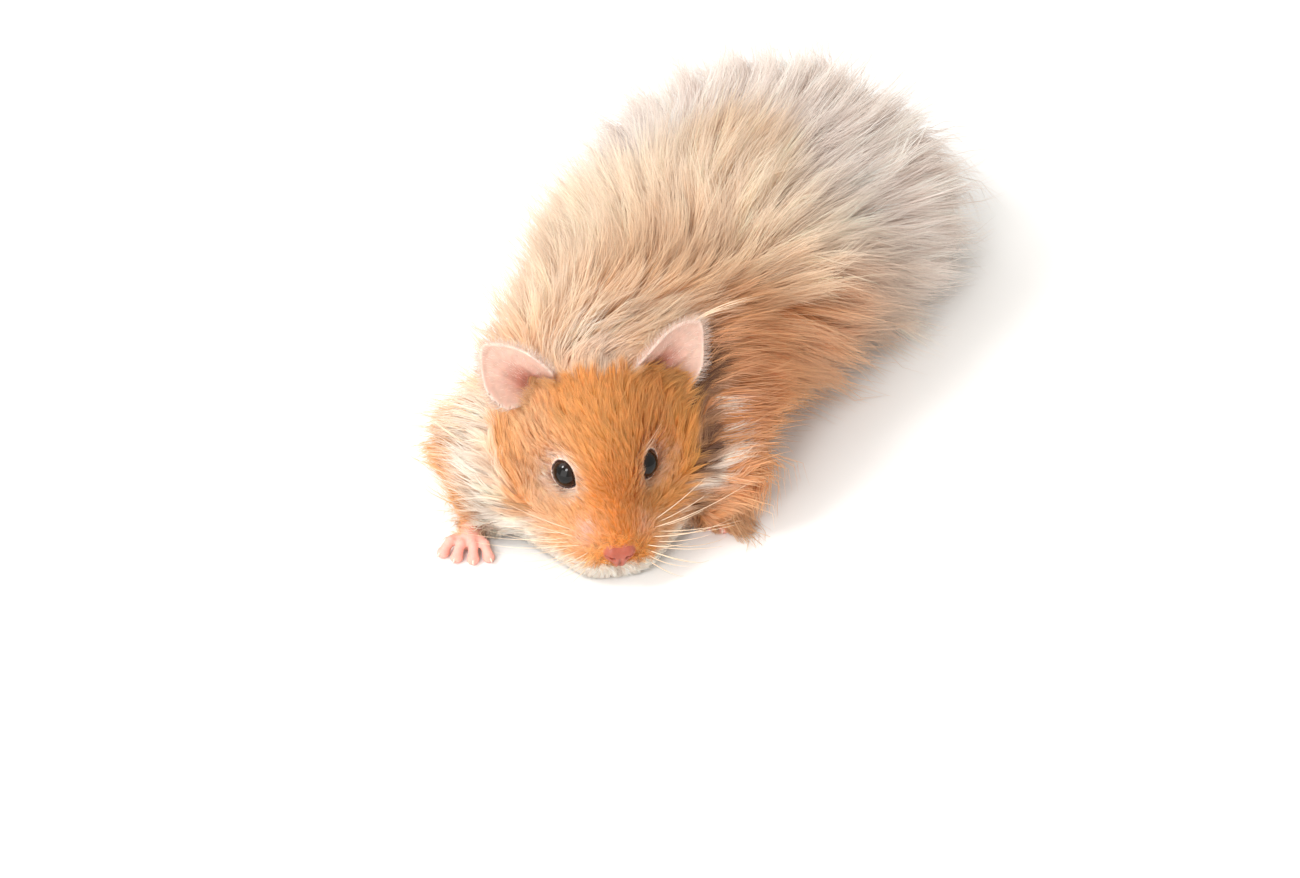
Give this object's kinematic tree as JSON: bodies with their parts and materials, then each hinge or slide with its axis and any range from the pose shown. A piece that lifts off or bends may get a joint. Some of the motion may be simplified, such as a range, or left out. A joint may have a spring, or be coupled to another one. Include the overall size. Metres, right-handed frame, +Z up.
{
  "type": "long-haired syrian hamster model",
  "caption": "Life-size still model of a long-haired golden hamster creeping forward with its head low and turned to its left, ears up, one forepaw reaching ahead.",
  "frame": {"origin": "on the floor under the middle of the whole model's box", "axes": "+Y from the nose towards the tail, +X towards the animal's left, +Z up; the animal faces -Y"},
  "size_m": [0.0876, 0.1702, 0.0479],
  "materials": {
    "coat_gold": "soft fur, orange gold",
    "coat_cream": "long soft fur, cream with tan locks",
    "coat_pale": "long wispy fur, greyish white over cream",
    "bare_skin": "bare pink skin, satin",
    "ear_skin": "thin pale pink skin with fine down",
    "eye": "wet gloss"
  },
  "bodies": {
    "root": {"eye_right": "eye", "eye_left": "eye", "ear_right": "ear_skin", "ear_left": "ear_skin", "nose": "bare_skin", "head": "coat_gold", "forepaw_right": "bare_skin", "forepaw_left": "bare_skin", "hindfoot_right": "bare_skin", "hindfoot_left": "bare_skin", "foreleg_right": "coat_gold", "foreleg_left": "coat_gold", "hindleg_right": "coat_gold", "hindleg_left": "coat_gold", "tail": "bare_skin", "neck": "coat_cream", "chest": "coat_cream", "abdomen": "coat_cream", "rump": "coat_pale"}
  },
  "joints": []
}
